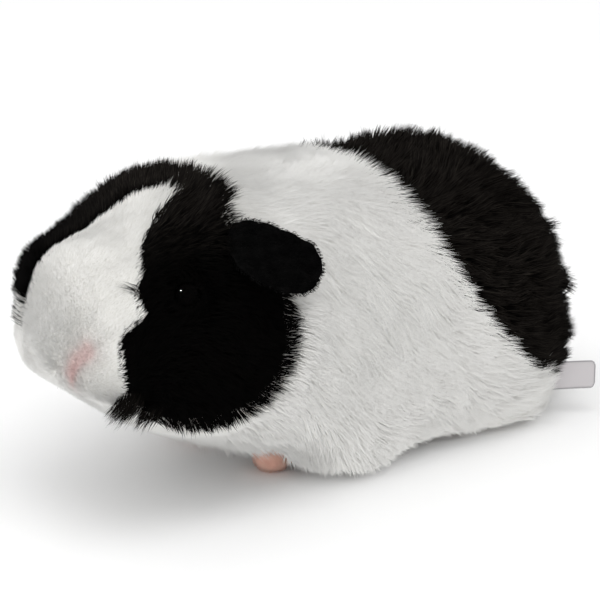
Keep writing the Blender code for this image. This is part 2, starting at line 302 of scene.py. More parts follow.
def apply_modifiers(obj):
    """Replace an object's mesh by what its modifiers make of it."""
    graph = bpy.context.evaluated_depsgraph_get()
    shaped = bpy.data.meshes.new_from_object(obj.evaluated_get(graph))
    obj.modifiers.clear()
    obj.data = shaped


def new_material(name, roughness, specular, sheen=0.0, sheen_roughness=0.5):
    material = bpy.data.materials.new(name)
    material.use_nodes = True
    shader = material.node_tree.nodes["Principled BSDF"]
    shader.inputs["Roughness"].default_value = roughness
    shader.inputs["Specular IOR Level"].default_value = specular
    shader.inputs["Sheen Weight"].default_value = sheen
    shader.inputs["Sheen Roughness"].default_value = sheen_roughness
    return material, material.node_tree, shader


def add_node(tree, kind, **settings):
    node = tree.nodes.new(kind)
    for key, value in settings.items():
        setattr(node, key, value)
    return node


def mix_colour(tree, factor, first, second):
    """Mix two colours, each a socket or a constant; the factor is a socket."""
    node = add_node(tree, "ShaderNodeMix", data_type="RGBA")
    tree.links.new(factor, node.inputs[MIX_FACTOR])
    for socket, colour in ((MIX_FIRST, first), (MIX_SECOND, second)):
        if isinstance(colour, bpy.types.NodeSocket):
            tree.links.new(colour, node.inputs[socket])
        else:
            node.inputs[socket].default_value = (*colour, 1.0)
    return node.outputs[MIX_RESULT]


def multiply(tree, first, second):
    """Product of a socket and of another socket or a number."""
    node = add_node(tree, "ShaderNodeMath", operation="MULTIPLY")
    tree.links.new(first, node.inputs[0])
    if isinstance(second, bpy.types.NodeSocket):
        tree.links.new(second, node.inputs[1])
    else:
        node.inputs[1].default_value = second
    return node.outputs[0]


def noise_socket(tree, scale, detail=3.0):
    place = add_node(tree, "ShaderNodeTexCoord")
    texture = add_node(tree, "ShaderNodeTexNoise")
    texture.inputs["Scale"].default_value = scale
    texture.inputs["Detail"].default_value = detail
    texture.inputs["Roughness"].default_value = 0.55
    tree.links.new(place.outputs["Object"], texture.inputs["Vector"])
    return texture.outputs["Fac"]


def ramp_socket(tree, value, low, high):
    """Stretch a value so that low becomes 0 and high becomes 1."""
    node = add_node(tree, "ShaderNodeMapRange")
    node.inputs["From Min"].default_value = low
    node.inputs["From Max"].default_value = high
    tree.links.new(value, node.inputs["Value"])
    return node.outputs["Result"]


def add_bump(tree, shader, height, distance, strength=1.0):
    bump = add_node(tree, "ShaderNodeBump")
    bump.inputs["Distance"].default_value = distance
    bump.inputs["Strength"].default_value = strength
    tree.links.new(height, bump.inputs["Height"])
    tree.links.new(bump.outputs["Normal"], shader.inputs["Normal"])


def attribute_sockets(tree, name):
    """The red, green and blue of a vertex colour, as three numbers."""
    node = add_node(tree, "ShaderNodeAttribute", attribute_name=name)
    split = add_node(tree, "ShaderNodeSeparateColor")
    tree.links.new(node.outputs["Color"], split.inputs["Color"])
    return split.outputs


def pile_material(name, colours, specular, sheen):
    """Strands: tone by strand in red, root to tip in green, pink blush in blue; the darker roots
    are painted shade deep in the pile.
    """
    root, tip, odd = colours
    patchiness = 0.12
    material, tree, shader = new_material(name, roughness=0.85, specular=specular,
                                          sheen=sheen, sheen_roughness=0.45)
    tone, along, blush = attribute_sockets(tree, "pile")
    # Painted shade: each strand darkens from its tip down to its root.
    colour = mix_colour(tree, along, root, tip)
    colour = mix_colour(tree, multiply(tree, tone, along), colour, odd)
    patches = ramp_socket(tree, noise_socket(tree, scale=45.0), low=0.35, high=0.75)
    colour = mix_colour(tree, multiply(tree, patches, patchiness), colour, root)
    colour = mix_colour(tree, blush, colour, PINK)
    tree.links.new(colour, shader.inputs["Base Color"])
    return material


def skin_material():
    """Knitted backing of the plush, dyed like the pile above it."""
    material, tree, shader = new_material("plush_backing", roughness=0.95, specular=0.1)
    marking, _, blush = attribute_sockets(tree, "marking")
    knit = noise_socket(tree, scale=900.0, detail=2.0)
    # The root colours make the backing darker than the tips: painted shade under the pile.
    white = mix_colour(tree, knit, WHITE_PILE[0], WHITE_PILE[2])
    black = mix_colour(tree, knit, BLACK_PILE[0], BLACK_PILE[1])
    colour = mix_colour(tree, marking, white, black)
    colour = mix_colour(tree, blush, colour, PINK)
    tree.links.new(colour, shader.inputs["Base Color"])
    add_bump(tree, shader, knit, distance=0.3 * MM)
    return material


def velvet_material():
    material, tree, shader = new_material("black_velvet", roughness=0.9, specular=0.03,
                                          sheen=0.012, sheen_roughness=0.4)
    nap = ramp_socket(tree, noise_socket(tree, scale=260.0, detail=4.0), low=0.35, high=0.7)
    colour = mix_colour(tree, nap, (0.0012, 0.0012, 0.0013), (0.0042, 0.0040, 0.0040))
    tree.links.new(colour, shader.inputs["Base Color"])
    fibres = noise_socket(tree, scale=1500.0, detail=2.0)
    add_bump(tree, shader, fibres, distance=0.25 * MM)
    return material


def felt_material():
    material, tree, shader = new_material("pink_felt", roughness=0.9, specular=0.15, sheen=0.3)
    mottle = ramp_socket(tree, noise_socket(tree, scale=260.0, detail=4.0), low=0.3, high=0.7)
    colour = mix_colour(tree, mottle, (0.84, 0.45, 0.35), (0.93, 0.60, 0.48))
    tree.links.new(colour, shader.inputs["Base Color"])
    fibres = noise_socket(tree, scale=1800.0)
    add_bump(tree, shader, fibres, distance=0.35 * MM)
    return material


def eye_material():
    material, tree, shader = new_material("black_plastic", roughness=0.06, specular=0.5)
    specks = ramp_socket(tree, noise_socket(tree, scale=700.0, detail=2.0), low=0.4, high=0.8)
    colour = mix_colour(tree, specks, (0.0012, 0.0012, 0.0012), (0.0030, 0.0024, 0.0022))
    tree.links.new(colour, shader.inputs["Base Color"])
    return material


def satin_material():
    """Woven satin: fine threads across the label."""
    material, tree, shader = new_material("satin_label", roughness=0.45, specular=0.35,
                                          sheen=0.2, sheen_roughness=0.3)
    place = add_node(tree, "ShaderNodeTexCoord")
    threads = add_node(tree, "ShaderNodeTexWave", wave_type="BANDS", bands_direction="Z")
    threads.inputs["Scale"].default_value = 700.0
    threads.inputs["Distortion"].default_value = 0.4
    tree.links.new(place.outputs["Object"], threads.inputs["Vector"])
    colour = mix_colour(tree, threads.outputs["Fac"], (0.51, 0.49, 0.50), (0.64, 0.61, 0.62))
    tree.links.new(colour, shader.inputs["Base Color"])
    add_bump(tree, shader, threads.outputs["Fac"], distance=0.08 * MM, strength=0.5)
    return material


# ---- skin ----------------------------------------------------------------------------

def nearest_nodes():
    """Search tree over all sewn solids, and the node of each of its triangles."""
    points, triangles, owner = [], [], []
    for index, name in enumerate(NODES):
        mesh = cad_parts[name].data
        faces = read_triangles(mesh) + len(points)
        points.extend(read_vertices(mesh).tolist())
        triangles.extend(faces.tolist())
        owner.extend([index] * len(faces))
    return BVHTree.FromPolygons(points, triangles), np.array(owner)


SOLIDS, SOLID_OWNER = nearest_nodes()


def solid_over(points, normals, drift=0.0):
    """Index in NODES of the sewn solid over each point of the skin, moved by a drift."""
    outside = points + normals * LOOKUP_REACH + drift
    found = [SOLIDS.find_nearest(point)[2] for point in outside.tolist()]
    return SOLID_OWNER[found]


def node_at(points, normals):
    """The sewn solid under the tips of the pile that grows at each point of the skin."""
    nodes = solid_over(points, normals)
    length, low, tip = pile_shape(points, normals, nodes)
    body = smoothstep(NECK_X, NECK_X + 30 * MM, points[:, 0])
    reach = blend(*OVERHANG, body) * 0.5 * length * (np.cos(low) + np.cos(tip))
    return solid_over(points, normals, comb(points, normals, nodes) * reach[:, None])


def is_black(nodes):
    return np.array([FLESH[name] for name in NODES])[nodes] == BLACK


def is_part(nodes, name):
    return nodes == NODES.index(name)


# ---- pile: its length and how it stands ----------------------------------------------

def pile_shape(points, normals, nodes):
    """Length of the pile in metres, and the lift of its lower and upper half in radians."""
    x, z = points[:, 0], points[:, 2]
    black = is_black(nodes)
    # Share of each region at each point, from 0 outside it to 1 well inside.
    head = 1 - smoothstep(NECK_X - 6 * MM, NECK_X + 10 * MM, x)
    head = np.where(is_part(nodes, "trunk"), 0.0, head)
    neck = 1 - smoothstep(NECK_X - 48 * MM, NECK_X - 14 * MM, x)
    head = np.where(is_part(nodes, "head"), neck, head)
    muzzle = smoothstep(EYES.x + 14 * MM, EYES.x - 32 * MM, x)
    throat = smoothstep(50 * MM, 26 * MM, z) * (1 - muzzle)
    upper = smoothstep(EYES.z - 30 * MM, EYES.z + 8 * MM, z)
    clipped = blend(*HEAD_WHITE[0], muzzle) + THROAT_MORE * throat
    head_length = np.where(black, blend(*HEAD_BLACK[0], muzzle), clipped)
    head_low = np.where(black, blend(*HEAD_BLACK[1], upper), blend(*HEAD_WHITE[1], muzzle))
    head_tip = np.where(black, blend(*HEAD_BLACK[2], upper), blend(*HEAD_WHITE[2], muzzle))
    length = blend(np.where(black, BODY_BLACK[0], BODY_WHITE[0]), head_length, head)
    low = blend(np.where(black, BODY_BLACK[1], BODY_WHITE[1]), head_low, head)
    tip = blend(np.where(black, blend(*BODY_BLACK[2], upper), BODY_WHITE[2]), head_tip, head)
    length = length * (1 - PRESSED * smoothstep(24 * MM, 5 * MM, z))
    belly = belly_share(points, normals)
    length, low, tip = (blend(usual, under, belly)
                        for usual, under in zip((length, low, tip), BELLY_PILE))
    return length * MM, np.radians(low), np.radians(tip)


def belly_share(points, normals):
    """1 where the toy lies on the floor, and 0 on its sides."""
    z = points[:, 2]
    return smoothstep(13 * MM, 4 * MM, z) * smoothstep(-0.3, -0.8, normals[:, 2])


def pile_depth(points, normals, nodes):
    """Height that the pile reaches over its backing, in metres."""
    length, low, tip = pile_shape(points, normals, nodes)
    return 0.5 * length * (np.sin(low) + np.sin(tip))


def face_share(points):
    """1 on the muzzle and 0 behind the eyes."""
    return smoothstep(EYES.x + 12 * MM, EYES.x - 8 * MM, points[:, 0])[:, None]


def even_out_face(mesh):
    """Take the small dents out of the muzzle, without making it smaller."""
    points, ends = read_vertices(mesh), read_edges(mesh)
    share = face_share(points)
    for _ in range(FACE_ROUNDS):
        for strength in FACE_STEPS:
            points += (neighbour_mean(points, ends) - points) * share * strength
    write_vertices(mesh, points)


def add_smoothing(obj, rounds):
    smooth = obj.modifiers.new("soften", "SMOOTH")
    smooth.factor = 0.5
    smooth.iterations = rounds


def make_skin():
    """One backing for all sewn parts, sunk below the solids by the depth of the pile."""
    bm = bmesh.new()
    for name in NODES + EYE_NODES:
        bm.from_mesh(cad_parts[name].data)
    mesh = bpy.data.meshes.new("plush_skin")
    bm.to_mesh(mesh)
    bm.free()
    skin = add_object("plush_skin", mesh, skin_material())
    remesh = skin.modifiers.new("one surface", "REMESH")
    remesh.mode = "VOXEL"
    remesh.voxel_size = SKIN_VOXEL
    add_smoothing(skin, SMOOTH_BEFORE)
    apply_modifiers(skin)
    points, normals = read_vertices(skin.data), read_normals(skin.data)
    depth = pile_depth(points, normals, solid_over(points, normals))
    depth += SINK_NEAR_FLOOR * smoothstep(30 * MM, 8 * MM, points[:, 2])
    points -= normals * depth[:, None]
    write_vertices(skin.data, points)
    add_smoothing(skin, SMOOTH_AFTER)
    apply_modifiers(skin)
    even_out_face(skin.data)
    points, normals = read_vertices(skin.data), read_normals(skin.data)
    points -= normals * mouth_dip(points)[:, None]
    points[:, 2] = np.maximum(points[:, 2], SKIN_FLOOR)
    write_vertices(skin.data, points)
    skin.data.shade_smooth()
    return skin


def mouth_dip(points):
    """Depth of the mouth crease, and below it the small swelling of the chin."""
    side = points[:, 1] - midline(points[:, 0])
    depth = blend(*MOUTH_DEPTH, smoothstep(-10 * MM, 8 * MM, side))
    dip = depth * np.exp(-(distance_to_line(points, mouth_line()) / MOUTH_WIDTH) ** 2)
    ahead, aside, up = CHIN
    for way in (-1, 1):
        gap = distance_to(on_head(ahead, way * aside, up), points)
        dip -= CHIN_HEIGHT * np.exp(-(gap / CHIN_RADIUS) ** 2)
    return dip


def blush_at(points):
    """Share of airbrushed pink in the pile, which lies left of the mouth's middle."""
    gap = distance_to_line(points, mouth_line()[PINK_STRETCH])
    blush = np.exp(-(gap / STREAK_RADIUS) ** 2) + HALO * np.exp(-(gap / HALO_RADIUS) ** 2)
    return np.minimum(blush, 1.0)


def mark_skin(skin):
    """Vertex colours of the backing: black plush in red, pink blush in blue."""
    points, normals = read_vertices(skin.data), read_normals(skin.data)
    colours = np.zeros((len(points), 4), np.float32)
    colours[:, 0] = is_black(node_at(points, normals))
    colours[:, 2] = blush_at(points) * (1 - colours[:, 0])
    colours[:, 3] = 1.0
    layer = skin.data.color_attributes.new("marking", "FLOAT_COLOR", "POINT")
    layer.data.foreach_set("color", colours.ravel())


# ---- strands -------------------------------------------------------------------------

def unwrap(points):
    """Unwrap of the skin's own shape: round the body, and along it from nose to rear."""
    around = np.arctan2(points[:, 1] - midline(points[:, 0]), points[:, 2] - 0.4 * CAD_HIGH.z)
    middle, reach = (NOSE_X + REAR_X) / 2, (REAR_X - NOSE_X) / 2
    along = np.arccos(np.clip((points[:, 0] - middle) / reach, -0.999, 0.999)) / math.pi
    flat = np.stack([around / (2 * math.pi) + 0.5, along], axis=1)
    return flat * (1 - 2 * UV_PATCH) + UV_PATCH


def comb(points, normals, nodes):
    """Direction in which the pile lies, in the plane of the skin."""
    x, z = points[:, 0], points[:, 2]
    head = 1 - smoothstep(NECK_X - 25 * MM, NECK_X + 30 * MM, x)
    rear = smoothstep(0.0, 0.35 * REAR_X, x)
    low = smoothstep(0.62, 0.30, z / CAD_HIGH.z)
    flow = np.zeros_like(points)
    for axis, (usual, at_rear, low_down, on_face) in ((0, BACKWARDS), (2, UPWARDS)):
        flow[:, axis] = usual + at_rear * rear + low_down * low * (1 - head) + on_face * head
    front = smoothstep(EYES.x + 10 * MM, NOSE_X + 10 * MM, x)[:, None]
    from_mouth = unit(points - np.array(on_head(*PARTING)[:]))
    flow = flow * (1 - front) + from_mouth * 1.2 * front
    flow = radiate(flow, points, nodes)
    turn = sum(strength * ripple(points, wavelength, seed)
               for strength, wavelength, seed in SWIRLS)
    flow = flow + np.cross(normals, flow) * turn[:, None]
    flow -= normals * np.sum(flow * normals, axis=1, keepdims=True)
    return unit(flow)


def radiate(flow, points, nodes):
    """Turn the pile outwards along the lower and rear edge of each black cheek."""
    for side in ("left", "right"):
        node = "cheek_" + side
        low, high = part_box(node)
        centre = np.array([(low.x + high.x) / 2 - 3 * MM, centre_of(node).y, EYES.z - 26 * MM])
        outwards = points - centre
        reach = np.linalg.norm(outwards[:, [0, 2]], axis=1)
        share = smoothstep(18 * MM, 40 * MM, reach) * is_part(nodes, node)
        share *= smoothstep(14 * MM, -6 * MM, outwards[:, 2])
        share *= smoothstep(-28 * MM, -8 * MM, outwards[:, 0])
        flow = flow * (1 - share[:, None]) + unit(outwards) * share[:, None]
    return flow


def stray_tufts(roots, normals, knee, tip, nodes, rng):
    """Long dark strands that stray from the pile: lashes, a wisp, tufts under the cheek."""
    strays = np.zeros(len(roots), bool)
    for place, radius, portion, aim, shortest, longest in STRAYS:
        gap = distance_to(on_head(*place), roots + normals * 5 * MM)
        chosen = np.flatnonzero((gap < radius * MM) & (rng.random(len(roots)) < portion))
        way = unit(np.array(aim) + rng.normal(0, 0.15, (len(chosen), 3)))
        length = rng.uniform(shortest, longest, len(chosen))[:, None] * MM
        knee[chosen] = roots[chosen] + unit(normals[chosen] * 1.6 + way) * length * 0.45
        tip[chosen] = knee[chosen] + unit(way + normals[chosen] * 0.15) * length * 0.75
        nodes[chosen] = NODES.index("cheek_left")
        strays[chosen] = True
    return strays


def tuck_round_eyes(roots, knee, tip):
    """Bend the pile beside each eye over its rim, so that only its middle shows."""
    ahead, aside, up = EYE_FACING
    for eye in EYE_NODES:
        middle = np.array(centre_of(eye)[:])
        facing = unit(np.array([ahead, aside * np.sign(middle[1] - EYES.y), up]))
        gap = distance_to(middle, roots)
        near = smoothstep(14 * MM, 9 * MM, gap)[:, None]
        outwards = roots - middle
        outwards = unit(outwards - facing * (outwards @ facing)[:, None])
        beside = middle + facing * 4.0 * MM + outwards * 6.5 * MM
        over = middle + facing * 6.0 * MM + outwards * EYE_OPENING
        knee += (beside - knee) * near * 0.6
        tip += (over - tip) * near * 0.8
        for part in (knee, tip):
            reach = np.sum((part - middle) * outwards, axis=1)
            short = np.maximum(EYE_OPENING - reach, 0) * (gap < 22 * MM)
            part += outwards * short[:, None]


def pile_density(points, normals, nodes):
    """Strands for each square millimetre of skin."""
    length = pile_shape(points, normals, nodes)[0] / MM
    density = np.where(is_black(nodes), BLACK_DENSITY, WHITE_DENSITY)
    density = density + SHORT_PILE_MORE * smoothstep(8.0, 3.0, length)
    for node in EYE_NODES:
        density = density * (distance_to(centre_of(node), points) > EYE_CLEARING)
    for node in ("paw_front_left", "paw_front_right"):
        density = density * (distance_to(centre_of(node), points) > PAW_CLEARING)
    return density * (1 - BELLY_THINNING * belly_share(points, normals)) * DENSITY


def even_normals(mesh):
    """Normals of the skin, averaged over their neighbours, and most so on the muzzle."""
    ends, face = read_edges(mesh), face_share(read_vertices(mesh))

    def average(normals, rounds):
        for _ in range(rounds):
            normals = unit(normals + NEIGHBOUR_WEIGHT * neighbour_mean(normals, ends))
        return normals

    on_body = average(read_normals(mesh), BODY_ROUNDS)
    on_face = average(on_body, FACE_MORE)
    return unit(on_body * (1 - face) + on_face * face)


def scatter(mesh, normals, density, rng):
    """Random roots over a mesh: density says how many for each square millimetre."""
    points, triangles = read_vertices(mesh), read_triangles(mesh)
    corners = points[triangles]
    cross = np.cross(corners[:, 1] - corners[:, 0], corners[:, 2] - corners[:, 0])
    area = np.linalg.norm(cross, axis=1) / 2 / MM ** 2
    wanted = area * density(corners.mean(axis=1), unit(cross))
    count = int(wanted.sum())
    picked = np.searchsorted(np.cumsum(wanted), rng.random(count) * wanted.sum())
    picked = np.minimum(picked, len(triangles) - 1)
    share = rng.random((count, 2))            # places in a parallelogram, then folded
    flip = share.sum(axis=1) > 1              # into the triangle that is half of it
    share[flip] = 1 - share[flip]
    weights = np.stack([1 - share.sum(axis=1), share[:, 0], share[:, 1]], axis=1)
    roots = np.einsum("nk,nkc->nc", weights, points[triangles[picked]])
    leans = unit(np.einsum("nk,nkc->nc", weights, normals[triangles[picked]]))
    return roots, leans


def throat_share(roots, nodes):
    """1 on the white pile under the chin."""
    return smoothstep(45 * MM, 25 * MM, roots[:, 2]) * is_part(nodes, "head")


def uneven_length(roots, nodes):
    """Share of its length by which the pile is longer or shorter from place to place."""
    x, z = roots[:, 0], roots[:, 2]
    rump = is_part(nodes, "rump")
    crown = smoothstep(EYES.z + 6 * MM, EYES.z + 22 * MM, z)
    far_strip = smoothstep(EYES.z - 18 * MM, EYES.z, z)
    uneven = np.where(rump, 0.18, 0.07) * ripple(roots, 15 * MM, 7)
    uneven += rump * blend(-0.12, 0.22, smoothstep(40 * MM, 75 * MM, x))
    uneven += 0.6 * throat_share(roots, nodes)
    uneven += is_part(nodes, "cheek_left") * 0.10 * crown
    uneven += is_part(nodes, "cheek_right") * (0.38 * far_strip - 0.28 * crown)
    return uneven


def grow_strands(roots, normals, nodes, rng):
    """Knee and tip of each strand, gathered into small locks."""
    black = is_black(nodes)
    rump = is_part(nodes, "rump")
    lie = comb(roots, normals, nodes)
    length, low, tip_lift = pile_shape(roots, normals, nodes)
    long_share = smoothstep(3 * MM, 12 * MM, length)
    length = length * (1 + rng.normal(0, 0.09, len(roots)) + uneven_length(roots, nodes))
    side = np.cross(normals, lie)
    sway = rng.normal(0, 0.12, len(roots)) + np.where(black, 0.18, 0.09) * ripple(roots, 9 * MM, 5)
    wobble = np.radians(rng.normal(0, 7, len(roots)) + np.where(rump, 9, 4) * ripple(
        roots, 14 * MM, 6) + 25 * throat_share(roots, nodes))
    knee = roots + rise(lie, normals, side, low + wobble, sway * 0.5) * (0.5 * length)[:, None]
    tip = knee + rise(lie, normals, side, tip_lift + wobble, sway * 1.6) * (0.5 * length)[:, None]
    pull = np.where(black, 0.25 + 0.32 * rump, 0.05 + 0.09 * long_share)
    knee, tip = gather(roots, knee, tip, pull, rng)
    tuck_round_eyes(roots, knee, tip)
    strays = stray_tufts(roots, normals, knee, tip, nodes, rng)
    keep_off_floor(knee, tip)
    return knee, tip, length, strays


def keep_off_floor(knee, tip):
    """Raise the ends of strands that would reach below the floor, in place."""
    for part in (knee, tip):
        part[:, 2] = np.maximum(part[:, 2], PILE_FLOOR)


def rise(lie, normals, side, lift, sway):
    """Direction of a half strand: along the lie of the pile, lifted, and swayed aside."""
    direction = lie * np.cos(lift)[:, None] + normals * np.sin(lift)[:, None]
    return unit(direction + side * sway[:, None])


def gather(roots, knee, tip, pull, rng):
    """Draw the strands of each lock towards the tip of its leader."""
    # Each strand follows the nearest of some strands picked to lead a lock.
    leaders = rng.choice(len(roots), max(1, len(roots) // STRANDS_IN_LOCK), replace=False)
    tree = KDTree(len(leaders))
    for strand in leaders.tolist():
        tree.insert(roots[strand], strand)
    tree.balance()
    leader = np.array([tree.find(root)[1] for root in roots.tolist()])
    near = np.linalg.norm(roots - roots[leader], axis=1) < LOCK_REACH
    pull = (pull * near)[:, None]
    tip = tip + (tip[leader] - tip) * pull
    knee = knee + (knee[leader] - knee) * pull * 0.4
    return knee, tip


def strand_mesh(name, roots, knee, tip, width, colours, patch, lean):
    """Closed strands: a point at the root, a three-sided knee and a point at the tip."""
    count = len(roots)
    askew = np.array([0.31, 0.57, 0.76])      # any direction that isn't along a strand
    axis = unit(tip - roots)
    first = unit(np.cross(axis, askew))
    second = np.cross(axis, first)
    corners = np.empty((count, VERTICES_PER_STRAND, 3))
    corners[:, 0] = roots
    corners[:, 4] = tip
    shading = np.repeat(lean[:, None, :], VERTICES_PER_STRAND, axis=1) * SOFTNESS
    for k in range(3):
        angle = 2 * math.pi * k / 3
        outwards = first * math.cos(angle) + second * math.sin(angle)
        corners[:, k + 1] = knee + outwards * width[:, None] / 2
        shading[:, k + 1] += outwards * (1 - SOFTNESS)
    pattern = np.array([(0, 2, 1), (0, 3, 2), (0, 1, 3), (4, 1, 2), (4, 2, 3), (4, 3, 1)])
    starts = VERTICES_PER_STRAND * np.arange(count)
    faces = (pattern[None] + starts[:, None, None]).reshape(-1)
    mesh = bpy.data.meshes.new(name)
    mesh.vertices.add(count * VERTICES_PER_STRAND)
    mesh.vertices.foreach_set("co", corners.astype(np.float32).ravel())
    mesh.loops.add(len(faces))
    mesh.loops.foreach_set("vertex_index", faces.astype(np.int32))
    mesh.polygons.add(len(faces) // 3)
    mesh.polygons.foreach_set("loop_start", np.arange(0, len(faces), 3, dtype=np.int32))
    mesh.update(calc_edges=True)
    mesh.shade_smooth()
    mesh.normals_split_custom_set_from_vertices(unit(shading.reshape(-1, 3)).tolist())
    tones = np.repeat(colours[:, None, :], VERTICES_PER_STRAND, axis=1)
    # Green runs from root to tip; the material darkens the roots with it as painted shade deep in
    # the pile.
    tones[:, :, 1] = np.array([0.0, 0.5, 0.5, 0.5, 1.0])      # from root to tip
    layer = mesh.color_attributes.new("pile", "FLOAT_COLOR", "POINT")
    layer.data.foreach_set("color", tones.astype(np.float32).ravel())
    offsets = np.array([(0, -1), (-1, 0), (1, 0), (0, 0.3), (0, 1)]) * UV_PATCH / 2  # a kite
    flat = (patch[:, None, :] + offsets[None]).reshape(-1, 2)[faces]
    mesh.uv_layers.new(name="OFBake").data.foreach_set("uv", flat.astype(np.float32).ravel())
    return mesh


def brown_tips_and_painted_sheen(points):
    """Share of brown tips in black pile, part the pile's own brown and part painted sheen: high on
    crown and rump, hardly any on the cheeks.
    """
    crown = smoothstep(EYES.z + 8 * MM, EYES.z + 26 * MM, points[:, 2])
    behind = smoothstep(NECK_X, NECK_X + 40 * MM, points[:, 0])
    return 0.06 + 0.9 * crown * (1 - behind) + 0.9 * behind


COATS = (
    # piece, sewn parts it grows from, record slot
    ("coat_head", ("head",), "white_plush"),
    ("coat_cheek_left", ("cheek_left",), "black_plush"),
    ("coat_cheek_right", ("cheek_right",), "black_plush"),
    ("coat_trunk", ("trunk",), "white_plush"),
    ("coat_rump", ("rump",), "black_plush"),
    ("coat_legs", ("leg_front_left", "leg_front_right", "leg_hind_left", "leg_hind_right"),
     "white_plush"),
)


def fade_strip(roots, nodes, rng):
    """Thin out the black at the end of the far side's strip, strand by strand."""
    near = smoothstep(13 * MM, 6 * MM, distance_to(on_head(*STRIP_END), roots))
    faded = rng.random(len(roots)) < STRIP_FADE * near
    nodes[faded & is_part(nodes, "cheek_right")] = NODES.index("head")


def strand_widths(length, nodes, rng):
    full = np.where(is_black(nodes), BLACK_WIDTH, WHITE_WIDTH)
    width = np.clip(WIDTH_BY_LENGTH * length, THIN_WIDTH, full)
    width = width * rng.uniform(0.8, 1.2, len(length))
    return width / math.sqrt(DENSITY)


def strand_colours(roots, nodes, strays, rng):
    """Tone in red, with painted shade on the blaze, and blush in blue; strand_mesh fills in the
    green.
    """
    # Painted shade: on the blaze, the top of the head, strands lean strongly to the odd, duller
    # colour.
    painted_blaze_shade = smoothstep(EYES.z - 16 * MM, EYES.z + 12 * MM, roots[:, 2])
    painted_blaze_shade *= smoothstep(NECK_X, NECK_X - 30 * MM, roots[:, 0])
    tone = np.where(is_black(nodes), brown_tips_and_painted_sheen(roots), 0.25 + 2.4 * painted_blaze_shade)
    tone[strays] = 0.8
    colours = np.ones((len(roots), 4))
    colours[:, 0] = np.minimum(rng.beta(1.0, 2.6, len(roots)) * tone, 1.0)
    colours[:, 2] = blush_at(roots) * ~is_black(nodes)
    return colours


def make_coats(skin):
    """Grow the strands of all sewn parts, and share them out into pieces."""
    rng = np.random.default_rng(11)
    materials = {
        "white_plush": pile_material("white_pile", WHITE_PILE, specular=0.15, sheen=0.2),
        "black_plush": pile_material("black_pile", BLACK_PILE, specular=0.02, sheen=0.0),
    }

    def density(middle, facing):
        return pile_density(middle, facing, node_at(middle, facing))

    roots, normals = scatter(skin.data, even_normals(skin.data), density, rng)
    nodes = node_at(roots, normals)
    knee, tip, length, strays = grow_strands(roots, normals, nodes, rng)
    fade_strip(roots, nodes, rng)
    width = strand_widths(length, nodes, rng)
    colours = strand_colours(roots, nodes, strays, rng)
    patch = unwrap(roots)
    for name, parts, slot in COATS:
        chosen = np.flatnonzero(np.isin(nodes, [NODES.index(part) for part in parts]))
        chosen = chosen[np.argsort(patch[chosen, 0])]
        pieces = math.ceil(len(chosen) * TRIANGLES_PER_STRAND / PIECE_LIMIT)
        for number, group in enumerate(np.array_split(chosen, pieces), 1):
            label = name if pieces == 1 else f"{name}_{number}"
            mesh = strand_mesh(label, roots[group], knee[group], tip[group], width[group],
                               colours[group], patch[group], normals[group])
            coat = add_object(label, mesh, materials[slot])
            coat.visible_shadow = slot == "black_plush"      # light sifts through white pile
            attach(coat, "root")
            print(label, len(group) * TRIANGLES_PER_STRAND, "triangles")


# ---- small parts ---------------------------------------------------------------------

def refined_copy(node, name, material):
    """A finer, smooth copy of a node's solid."""
    bm = bmesh.new()
    bm.from_mesh(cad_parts[node].data)
    bmesh.ops.remove_doubles(bm, verts=bm.verts, dist=0.05 * MM)
    mesh = bpy.data.meshes.new(name)
    bm.to_mesh(mesh)
    bm.free()
    obj = add_object(name, mesh, material)
    subdivide = obj.modifiers.new("smooth", "SUBSURF")
    subdivide.levels = subdivide.render_levels = 2
    apply_modifiers(obj)
    obj.data.shade_smooth()
    return obj


def add_nap(body, name, aim, rng, length, width):
    """Short fibres all over a small part, brushed one way."""
    mesh = body.data

    def density(middle, _):
        return NAP_DENSITY * DENSITY * (middle[:, 2] > 2 * PILE_FLOOR)

    roots, normals = scatter(mesh, read_normals(mesh), density, rng)
    lie = aim - normals * np.sum(normals * aim, axis=1, keepdims=True)
    lie = unit(lie + rng.normal(0, 0.25, lie.shape))
    reach = length * rng.uniform(0.75, 1.25, len(roots))[:, None]
    knee = roots + unit(normals + lie * 0.5) * reach * 0.5
    tip = knee + unit(normals * 0.5 + lie) * reach * 0.5
    keep_off_floor(knee, tip)
    colours = np.ones((len(roots), 4))
    colours[:, 0] = rng.random(len(roots))
    widths = width * rng.uniform(0.8, 1.2, len(roots)) / math.sqrt(DENSITY)
    nap = strand_mesh(name, roots - normals * 0.2 * MM, knee, tip, widths, colours,
                      around_part(roots), normals)
    coat = add_object(name, nap, body.data.materials[0])
    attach(coat, "root")


def around_part(points):
    """Unwrap of a small part: round its own upright middle line."""
    away = points - points.mean(axis=0)
    height = (points[:, 2] - points[:, 2].min()) / np.ptp(points[:, 2])
    flat = np.stack([np.arctan2(away[:, 1], away[:, 0]) / (2 * math.pi) + 0.5, height], axis=1)
    return flat * (1 - 2 * UV_PATCH) + UV_PATCH


def make_ears():
    velvet = velvet_material()
    rng = np.random.default_rng(21)
    for node in ("ear_left", "ear_right"):
        ear = refined_copy(node, "velvet_" + node, velvet)
        points = read_vertices(ear.data)
        points += read_normals(ear.data) * (0.35 * MM * ripple(points, 9 * MM, 31))[:, None]
        write_vertices(ear.data, points)
        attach(ear, "root")
        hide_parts(node)
        middle = centre_of(node)
        base = Vector((EARS.x - 18 * MM, EARS.y + 0.62 * (middle.y - EARS.y), EARS.z + 6 * MM))
        aim = np.array((middle - base).normalized()[:])
        add_nap(ear, "nap_" + node, aim, rng, length=2.0 * MM, width=0.26 * MM)


